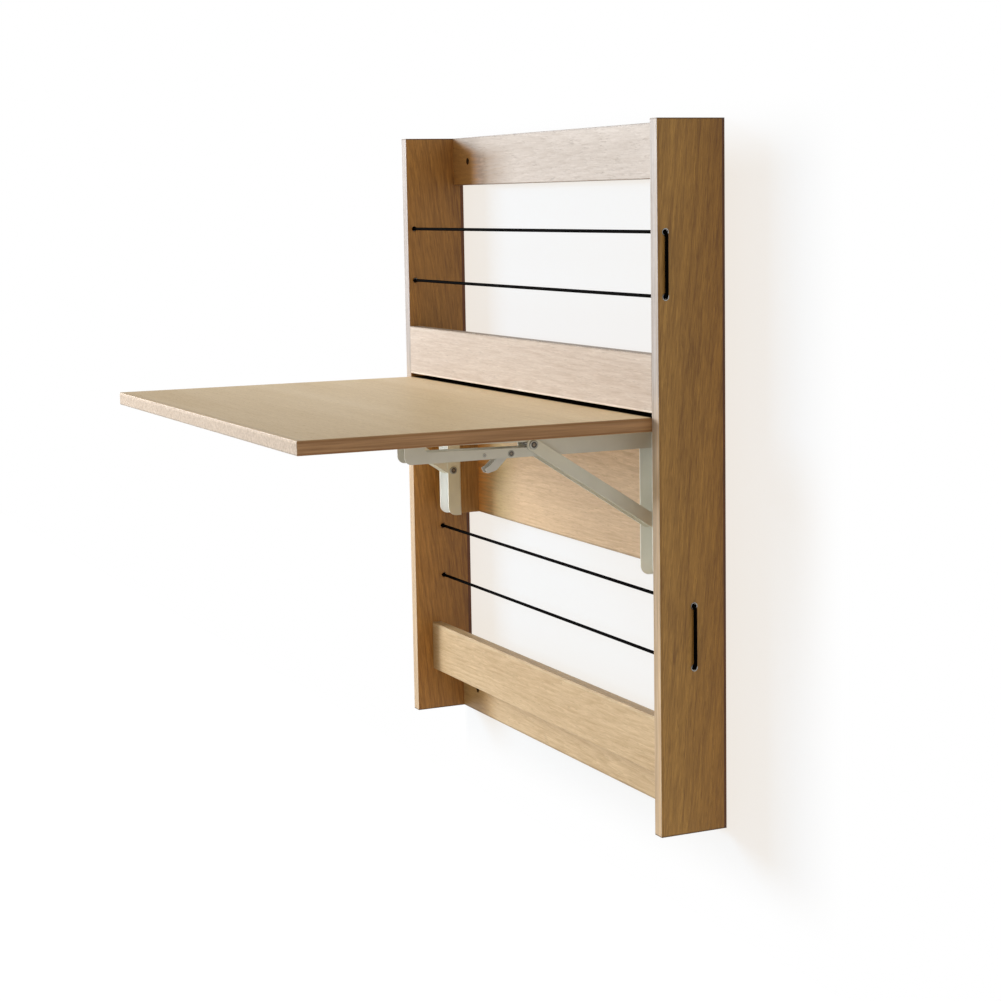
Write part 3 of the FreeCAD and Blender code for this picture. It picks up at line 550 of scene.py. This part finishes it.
def gather(parts):
    points = []
    faces = []
    for some_points, some_faces in parts:
        base = len(points)
        points.extend(some_points)
        faces.extend(tuple(index + base for index in face) for face in some_faces)
    return points, faces


# ---------------------------------------------------------------- cords, eyelets, crimps
def cord_path(depth, run, top, bottom):
    """Points along a closed loop with four bends, at most about 30 mm apart."""
    bend_steps = 8
    longest_piece = 0.03
    inner_run, inner_top, inner_bottom = run - CORD_BEND, top - CORD_BEND, bottom + CORD_BEND
    bends = []
    for centre_x, centre_z, start in ((inner_run, inner_top, 90.0), (inner_run, inner_bottom, 0.0),
                                      (-inner_run, inner_bottom, -90.0), (-inner_run, inner_top, 180.0)):
        for step in range(bend_steps + 1):
            angle = math.radians(start - 90.0 * step / bend_steps)
            bends.append(Vector((centre_x + CORD_BEND * math.cos(angle), depth,
                                 centre_z + CORD_BEND * math.sin(angle))))
    path = []
    for index, here in enumerate(bends):
        ahead = bends[(index + 1) % len(bends)]
        pieces = max(1, round((ahead - here).length / longest_piece))
        path.extend(here.lerp(ahead, step / pieces) for step in range(pieces))
    return path


def cord_loop(name, node, material):
    """The cord runs across, turns down outside each side panel and comes back: one closed loop."""
    low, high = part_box(node)
    depth = (low.y + high.y) / 2
    run = high.x - CORD_RADIUS
    top, bottom = high.z - CORD_RADIUS, low.z + CORD_RADIUS
    path = cord_path(depth, run, top, bottom)
    count = len(path)
    sides = 20
    points, faces, travel = [], [], [0.0]
    for index, here in enumerate(path):
        tangent = (path[(index + 1) % count] - path[index - 1]).normalized()
        out = tangent.cross(Vector((0, 1, 0)))
        for side in range(sides):
            angle = 2.0 * math.pi * side / sides
            points.append(here + (out * math.cos(angle) + Vector((0, 1, 0)) * math.sin(angle)) * CORD_RADIUS)
        travel.append(travel[-1] + (path[(index + 1) % count] - here).length)
    corners = []
    for index in range(count):
        following = (index + 1) % count
        for side in range(sides):
            next_side = (side + 1) % sides
            faces.append((index * sides + side, index * sides + next_side,
                          following * sides + next_side, following * sides + side))
            corners.append(((side / sides, travel[index]), ((side + 1) / sides, travel[index]),
                            ((side + 1) / sides, travel[index + 1]), (side / sides, travel[index + 1])))
    piece = mesh_object(name, points, faces, material)
    layer = piece.data.uv_layers.new(name="braid")
    for face, places in zip(piece.data.polygons, corners):
        for corner, place in zip(face.loop_indices, places):
            layer.data[corner].uv = place
    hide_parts(node)
    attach(piece, "frame")
    return depth, top, bottom, run


def eyelets(loops, material):
    """Rolled eyelets where the cords leave the side panels."""
    profile = [(-0.0060, 0.00445), (-0.0001, 0.00445), (0.0, 0.00450), (0.0, 0.00535), (0.00008, 0.0054),
               (0.00022, 0.00538), (0.00036, 0.00528), (0.00046, 0.00512), (0.0005, 0.00490), (0.0005, 0.00462),
               (0.00044, 0.00435), (0.00030, 0.00412), (0.00010, 0.00396), (-0.0002, 0.00387), (-0.0008, 0.00385),
               (-0.0058, 0.00385), (-0.0060, 0.00400)]
    rings = []
    for depth, top, bottom, run in loops:
        for side in (-1, 1):
            for height in (top, bottom):
                rings.append(lathe(profile, facing((side * HALF_WIDTH, depth, height), (side, 0, 0))))
    piece = mesh_object("eyelet_rings", *gather(rings), material)
    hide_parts("cord_eyelets")
    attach(piece, "frame")


def crimps(loops, material):
    """Sleeves, each pinched at three places, that join the cords' ends outside the left panel."""
    half, outer, inner = CRIMP_HALF_LENGTH, CORD_RADIUS + 0.00075, CORD_RADIUS + 0.00005
    rows = 34
    profile = []
    for row in range(rows + 1):
        place = -half + 2 * half * row / rows
        edge = min(1.0, (half - abs(place)) / 0.0006)
        dent = max(math.exp(-((place - middle) / 0.0011) ** 2) for middle in (-0.0048, 0.0, 0.0048))

        def reach(angle, edge=edge, dent=dent):
            pinch = 0.00034 * dent * (0.55 + 0.45 * math.cos(4 * angle))
            return outer - 0.00022 * (1.0 - edge) ** 2 - pinch
        profile.append((place, reach))
    profile += [(half, inner), (-half, inner)]
    sleeves = [lathe(profile, facing((-run, depth, (top + bottom) / 2), (0, 0, 1)))
               for depth, top, bottom, run in loops]
    piece = mesh_object("crimp_sleeves", *gather(sleeves), material)
    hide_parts("cord_crimps")
    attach(piece, "frame")


# ---------------------------------------------------------------- screws
def recess_depth(x, y):
    """Depth of a cross recess at a place on the head, where the head's radius is one."""
    reach, half_width = 0.56, 0.15

    def wing(along, across):
        walls = min(1.0, max(0.0, (half_width - abs(across)) / 0.07))
        return walls * min(1.0, max(0.0, (reach - abs(along)) / 0.08))
    slope = 1.0 - 0.45 * min(1.0, math.hypot(x, y)) / reach
    return 0.0014 * max(wing(y, x), wing(x, y)) * slope


def screw(place, direction, spin, length, pan):
    """Cross-recess screw. pan is the head's height over its seat, and a flush head has none and a conical seat."""
    turn = facing(place, direction, spin)
    cells = 22
    points = []
    faces = []
    for row in range(cells + 1):
        for column in range(cells + 1):
            u = 2.0 * column / cells - 1.0
            v = 2.0 * row / cells - 1.0
            x = u * math.sqrt(1.0 - v * v / 2.0)
            y = v * math.sqrt(1.0 - u * u / 2.0)
            share = min(1.0, math.hypot(x, y))
            dome = pan * (0.42 + 0.58 * math.sqrt(max(0.0, 1.0 - share ** 2.6)))
            points.append(turn @ Vector((x * SCREW_HEAD_RADIUS, y * SCREW_HEAD_RADIUS, dome - recess_depth(x, y))))
    width = cells + 1
    for row in range(cells):
        for column in range(cells):
            corner = row * width + column
            faces.append((corner, corner + 1, corner + width + 1, corner + width))
    rim = list(range(cells))
    rim += [row * width + cells for row in range(cells)]
    rim += [cells * width + column for column in range(cells, 0, -1)]
    rim += [row * width for row in range(cells, 0, -1)]
    shank = SCREW_SHANK_RADIUS / SCREW_HEAD_RADIUS
    seat = [(1.0, 0.0), (shank, 0.0)] if pan else [(shank, -(SCREW_HEAD_RADIUS - SCREW_SHANK_RADIUS))]
    previous = rim
    local = [turn.inverted() @ points[index] for index in rim]
    for share, height in seat + [(shank, -length + SCREW_TIP_LENGTH), (0.12, -length)]:
        ring = []
        for place_on_rim in local:
            flat = Vector((place_on_rim.x, place_on_rim.y)).normalized() * SCREW_HEAD_RADIUS * share
            ring.append(len(points))
            points.append(turn @ Vector((flat.x, flat.y, height)))
        for index in range(len(rim)):
            ahead = (index + 1) % len(rim)
            faces.append((previous[ahead], previous[index], ring[index], ring[ahead]))
        previous = ring
    faces.append(tuple(reversed(previous)))
    return points, faces


def screw_rows(places, direction, spin, spin_step, length, pan=SCREW_PAN_HEIGHT):
    """The same row of screws on both sides, each one turned in its own way."""
    return [screw((side * x, y, z), direction, spin + spin_step * index + side, length, pan)
            for side in (-1, 1) for index, (x, y, z) in enumerate(places)]


def screws(material):
    in_arm = screw_rows(ARM_SCREW_PLACES, (0, 0, -1), 0.5, 0.9, 0.014)
    in_leg = screw_rows(LEG_SCREW_PLACES, (0, -1, 0), 0.3, 1.1, 0.020)
    in_block = screw_rows(BLOCK_SCREW_PLACES, (0, 1, 0), 0.8, 1.3, 0.040, pan=0.0)
    for name, parts, node, body in (("arm_pan_screws", in_arm, "arm_screws", "desktop"),
                                    ("leg_pan_screws", in_leg, "leg_screws", "frame"),
                                    ("block_flush_screws", in_block, "block_screws", "frame")):
        piece = mesh_object(name, *gather(parts), material)
        piece.data.set_sharp_from_angle(angle=math.radians(40.0))
        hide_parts(node)
        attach(piece, body)


# ---------------------------------------------------------------- surfaces of the CAD nodes
def dress(names, material):
    for name in names:
        mesh = nodes[name].data
        if not mesh.materials:
            mesh.materials.append(material)
        for index in range(len(mesh.materials)):
            mesh.materials[index] = material


def board_materials():
    # The boards are one oak. Their colours differ for the light each gets, which is painted light: the side panels
    # and blocks are saturated for their shaded faces, the rails above the desktop pale for their lit faces, and
    # the boards below it tan.
    brown, umber = srgb(192, 144, 76), srgb(128, 88, 38)
    front_edge = Band(("-y",), srgb(180, 173, 171), srgb(210, 184, 148))
    # Right side: painted light and shade, lighter at the front and darker towards the wall, painted shade along
    # the top and bottom ends, next to the wall and behind the front arris on the outer face, a painted highlight
    # at the front face's outer arris with painted shade towards its inner side, and painted light on the -X faces.
    dress(["right_side_panel"], oak(
        "oak_right_side", "zyx", brown, umber, seed=3.1, heart=(0.10, 0.36), tilt=0.010, spacing=0.0120,
        figure=0.16, sway_share=1.6, contrast=1.2, lean=-0.08, band=front_edge, shaded_ends=True,
        light_sweep=LightSweep(-0.104, -0.002, (1.17, 1.19, 1.07), (0.92, 0.82, 0.50)), lit_face_tone=(1.15, 1.50, 2.70),
        strips=(Strip("y", -0.0044, 0.1, (0.30, 0.18, 0.07), "+x"),
                Strip("y", -0.1048, -0.1026, (0.74, 0.70, 0.62), "+x"),
                Strip("x", 0.4430, 0.4475, (1.15, 1.12, 1.06), "-y"),
                Strip("x", 0.1, 0.4375, (0.88, 0.86, 0.84), "-y"))))
    # Left side: painted light and shade, lighter at the front and darker towards the wall, painted shade along the
    # top and bottom ends and next to the wall on the inner face, and painted light on the -X faces.
    dress(["left_side_panel"], oak(
        "oak_left_side", "zyx", brown, umber, seed=9.7, heart=(-0.03, -0.49), tilt=0.035, spacing=0.0110,
        figure=0.24, sway_share=1.3, contrast=1.1, lean=0.10, band=front_edge, shaded_ends=True,
        light_sweep=LightSweep(-0.104, -0.006, (1.21, 1.10, 0.90), (0.91, 0.78, 0.61)), lit_face_tone=(1.15, 1.55, 2.90),
        strips=(Strip("y", -0.0062, 0.1, (0.36, 0.22, 0.09), "+x"),)))
    # Top rail: painted shadow of the left side panel, and painted shade in the wall-screw holes and along the top
    # and bottom arrises.
    dress(["top_rear_rail"], oak(
        "oak_top_rail", "xzy", srgb(186, 176, 168), srgb(153, 139, 126), seed=5.3, heart=(0.47, -0.062),
        tilt=0.075, spacing=0.0070, figure=0.22, holes=((-0.370, 0.460), (0.370, 0.460)),
        shade=Shade(-0.325, 0.028, (0.97, 0.56, 0.170), corner=(-0.43, 0.5),
                    halo=(-0.31, -0.19, (0.38, 0.20, 0.0))),
        strips=(Strip("z", 0.4975, 0.6, (0.82, 0.82, 0.82)),
                Strip("z", 0.3, 0.4215, (0.64, 0.58, 0.51)))))
    # Front rail: painted shade along the top arris and a painted highlight along the bottom arris.
    dress(["front_rail"], oak(
        "oak_front_rail", "xzy", srgb(204, 190, 176), srgb(172, 150, 130), seed=12.9, heart=(0.10, -0.150),
        tilt=0.050, spacing=0.0064, figure=0.18,
        strips=(Strip("z", 0.1783, 0.3, (0.62, 0.58, 0.52)),
                Strip("z", 0.0, 0.1022, (1.45, 1.55, 1.62)))))
    # Mid panel: painted shadow at its left end, under the desktop, and painted shade along the bottom arris.
    dress(["mid_rear_panel"], oak(
        "oak_mid_panel", "xzy", srgb(218, 190, 150), srgb(180, 148, 106), seed=21.4, heart=(-0.02, -0.070),
        tilt=0.050, spacing=0.0060, figure=0.24,
        shade=Shade(-0.300, 0.050, (1.07, 0.66, 0.255), halo=(-0.255, -0.170, (0.68, 0.68, 0.48)),
                    ceiling=0.075),
        strips=(Strip("z", -0.3, -0.1373, (0.66, 0.65, 0.60)),)))
    # Lower rail: painted shadow at its left end, painted shade at the top arris and a painted highlight just below
    # it.
    dress(["lower_front_rail"], oak(
        "oak_lower_rail", "xzy", srgb(214, 189, 148), srgb(176, 147, 104), seed=31.8, heart=(-0.34, -0.130),
        tilt=0.055, spacing=0.0058, figure=0.26, shade=Shade(-0.409, 0.013, (0.76, 0.68, 0.55)),
        strips=(Strip("z", -0.3453, -0.3, (0.87, 0.86, 0.84)),
                Strip("z", -0.3490, -0.3462, (1.06, 1.12, 1.20)))))
    # Bottom rail: painted shadow at its left end, and painted shade in the wall-screw holes and along the bottom
    # arris.
    dress(["bottom_rear_rail"], oak(
        "oak_bottom_rail", "xzy", srgb(213, 188, 147), srgb(175, 146, 103), seed=44.2, heart=(-0.50, -0.070),
        tilt=0.050, spacing=0.0058, figure=0.26, holes=((-0.370, -0.460), (0.370, -0.460)),
        shade=Shade(-0.31, 0.035, (0.75, 0.63, 0.42)),
        strips=(Strip("z", -0.6, -0.4970, (0.70, 0.68, 0.62)),)))
    # Desktop: painted light lightens the top towards the back and the lipping's faces turned to -X and -y; strips
    # paint a highlight along the front face's top arris and the top's right edge, shade along the front face's
    # bottom, darker lines near the top and bottom of the right edge and a darker strip on the top along the front.
    dress(["desktop_board"], oak(
        "oak_desktop", "xyz", srgb(214, 190, 148), srgb(194, 166, 122), seed=57.6, heart=(-0.75, -0.100),
        tilt=0.020, spacing=0.0080, figure=0.10, contrast=0.7, gloss=0.42, gap_shade=True,
        band=Band(("+x", "-x", "-y"), srgb(190, 144, 97), front_tone=(1.09, 1.60, 2.80), grain="y"),
        light_sweep=LightSweep(-0.62, -0.19, (0.93, 0.89, 0.77), (1.37, 1.41, 1.49)), lit_face_tone=(1.10, 1.25, 1.45),
        strips=(Strip("z", 0.0890, 0.0915, (0.78, 0.72, 0.60), "+x"),
                Strip("z", 0.0, 0.0760, (0.74, 0.64, 0.54), "+x"),
                Strip("z", 0.0885, 0.0925, (1.20, 1.22, 1.26), "-y"),
                Strip("z", 0.0, 0.0752, (0.78, 0.80, 0.84), "-y"),
                Strip("y", -0.7, -0.6150, (0.86, 0.84, 0.84), "+z"),
                Strip("x", 0.4235, 0.5, (1.10, 1.10, 1.10), "+z"))))
    # The blocks get painted light on their -X faces.
    dress(["left_bracket_block", "right_bracket_block"], oak(
        "oak_bracket_block", "zxy", brown, umber, seed=66.1, heart=(0.0, -0.30), tilt=0.03, spacing=0.005,
        figure=0.3, lit_face_tone=(1.15, 1.50, 2.70)))


def hardware_materials():
    # The bracket parts have one grey paint. These copies differ in tone for the light each part gets, which is
    # painted light: the right leg is paler for the shade the side panel puts on it, and the left leg's channel
    # gets painted light inside.
    arm_paint = painted("arm_paint_satin", (0.73, 0.725, 0.645), (0.665, 0.655, 0.575))
    brace_paint = painted("brace_paint_satin", (0.81, 0.795, 0.67), (0.74, 0.72, 0.595))
    dress(["left_bracket_leg"], painted("left_leg_paint_satin", (0.82, 0.79, 0.615), (0.74, 0.71, 0.55),
                                        inside=(-BRACKET_X, 0.0178, (0.93, 0.96, 0.95))))
    dress(["right_bracket_leg"], painted("right_leg_paint_satin", (0.92, 0.93, 0.86), (0.86, 0.87, 0.80)))
    lever_paint = painted("lever_paint_satin", (0.72, 0.70, 0.63), (0.64, 0.62, 0.555))
    steel = metal("pin_steel", (0.55, 0.54, 0.52), (0.40, 0.39, 0.37), 0.34)
    heads = rivet("rivet_heads", (HINGE, BRACE_PIVOT, SLIDE_PIN), RIVET_HEAD_RADIUS, 0.68)
    lever_heads = rivet("lever_rivet_heads", (LEVER_PIN,), LEVER_RIVET_RADIUS, 0.74)
    post_heads = rivet("post_heads", (SPRING_POST,), POST_HEAD_RADIUS, 0.30)
    strip = metal("spring_strip_steel", (0.42, 0.42, 0.43), (0.30, 0.30, 0.32), 0.30, brushed=(1.0, 0.08, 1.0))
    washer = plastic("washer_nylon", (0.72, 0.71, 0.67), (0.62, 0.61, 0.57))
    for side in ("left", "right"):
        dress([side + "_bracket_arm"], arm_paint)
        dress([side + "_brace_inner_bar", side + "_brace_outer_bar"], brace_paint)
        dress([side + "_release_lever"], lever_paint)
        dress([side + "_hinge_pin", side + "_brace_pivots", side + "_brace_rivets"], heads)
        dress([side + "_lever_pin"], lever_heads)
        dress([side + "_spring_post"], post_heads)
        dress([side + "_slide_pin"], steel)
        dress([side + "_lever_spring"], strip)
        dress([side + "_slide_bushes"], washer)
    dress(["pivot_washers"], washer)
    dress(["rail_dowels"], dowel_wood("dowel_beech"))


# ---------------------------------------------------------------- floor, wall, light
def plane(name, centre, across, up, material):
    centre, across, up = Vector(centre), Vector(across), Vector(up)
    points = [centre - across - up, centre + across - up, centre + across + up, centre - across + up]
    piece = mesh_object(name, points, [(0, 1, 2, 3)], material, smooth=False)


def seen_directly(n):
    """One for a look at the surface, also by way of something shiny or clear, and zero for light that bounces."""
    path = n.add("ShaderNodeLightPath")
    return n.calc("MAXIMUM", path.outputs["Is Camera Ray"],
                  n.calc("MAXIMUM", path.outputs["Is Glossy Ray"], path.outputs["Is Transmission Ray"]))


def backdrop_material(name, base, shading, fades, only_seen):
    """Nearly white surface that keeps a faint shadow, and lets a view from behind it pass. base is what it shows
    in full shade and shading what the light adds. fades are places along an axis past which it is plain white.
    With only_seen it sends no light back to the desk."""
    material, n = new_material(name)
    seen = seen_directly(n)
    front = n.calc("SUBTRACT", 1.0, n.add("ShaderNodeNewGeometry").outputs["Backfacing"])
    glow = n.add("ShaderNodeEmission", {"Color": base, "Strength": 1.0}).outputs[0]
    tint = n.add("ShaderNodeBsdfDiffuse", {"Color": shading}).outputs[0]
    shown = n.add("ShaderNodeAddShader", {0: glow, 1: tint}).outputs[0]
    place = n.axes(n.object_place())
    for axis, start, end in fades:
        past = n.step(place[axis], min(start, end), max(start, end))
        if end < start:
            past = n.calc("SUBTRACT", 1.0, past)
        white = n.add("ShaderNodeEmission", {"Color": (1.0, 1.0, 1.0), "Strength": 1.0}).outputs[0]
        shown = n.add("ShaderNodeMixShader", {0: past, 1: shown, 2: white}).outputs[0]
    clear = n.add("ShaderNodeBsdfTransparent").outputs[0]
    matt = n.add("ShaderNodeBsdfDiffuse", {"Color": (0.90, 0.875, 0.84)}).outputs[0]
    surface = n.add("ShaderNodeMixShader", {0: seen, 1: clear if only_seen else matt, 2: shown}).outputs[0]
    n.finish(n.add("ShaderNodeMixShader", {0: front, 1: clear, 2: surface}).outputs[0])
    return material


def window_light():
    data = bpy.data.lights.new("key_window", "AREA")
    data.shape = "RECTANGLE"
    data.size, data.size_y = 2.4, 2.6
    data.energy = 490.0
    data.color = (1.0, 0.99, 0.975)
    lamp = bpy.data.objects.new("key_window", data)
    bpy.context.scene.collection.objects.link(lamp)
    target, distance = Vector((0.0, -0.1, 0.0)), 7.2
    way = Vector((-0.758, -0.614, 0.235)).normalized()
    lamp.location = target + way * distance
    lamp.rotation_euler = way.to_track_quat("Z", "Y").to_euler()


def white_room():
    world = bpy.data.worlds.new("white_room")
    bpy.context.scene.world = world
    world.use_nodes = True
    n = Nodes(world.node_tree)
    seen = seen_directly(n)
    room = n.add("ShaderNodeBackground", {"Color": (1.0, 0.985, 0.965), "Strength": 0.44}).outputs[0]
    white = n.add("ShaderNodeBackground", {"Color": (1.0, 1.0, 1.0), "Strength": 1.0}).outputs[0]
    both = n.add("ShaderNodeMixShader", {0: seen, 1: room, 2: white}).outputs[0]
    n.add("ShaderNodeOutputWorld", {"Surface": both})


def surroundings():
    plane("floor", (0, -2.0, -0.657), (9, 0, 0), (0, 9, 0),
          backdrop_material("pale_floor", (0.80, 0.80, 0.80), (0.36, 0.36, 0.36), (), False))
    fades = (("x", 0.60, 0.75), ("x", -0.455, -0.475), ("z", 0.415, 0.53), ("z", -0.50, -0.61))
    plane("wall", (0, 0.0015, 0.0), (9, 0, 0), (0, 0, 9.0),
          backdrop_material("pale_wall", (0.835, 0.764, 0.687), (0.090, 0.166, 0.255), fades, True))
    window_light()
    white_room()
    bpy.context.scene.view_settings.view_transform = "Standard"


# ---------------------------------------------------------------- the desk
make_camera()
board_materials()
hardware_materials()
cord_sheath = braid("elastic_cord_braid")
cord_loops = [cord_loop("upper_cord_braid", "upper_cord", cord_sheath),
              cord_loop("lower_cord_braid", "lower_cord", cord_sheath)]
eyelet_places = [(depth, height) for depth, top, bottom, run in cord_loops for height in (top, bottom)]
eyelets(cord_loops, eyelet("eyelet_nickel", eyelet_places))
crimps(cord_loops, metal("crimp_nickel", (0.50, 0.49, 0.47), (0.38, 0.37, 0.36), 0.34))
screws(metal("screw_zinc", (0.60, 0.59, 0.57), (0.45, 0.44, 0.42), 0.30))
surroundings()
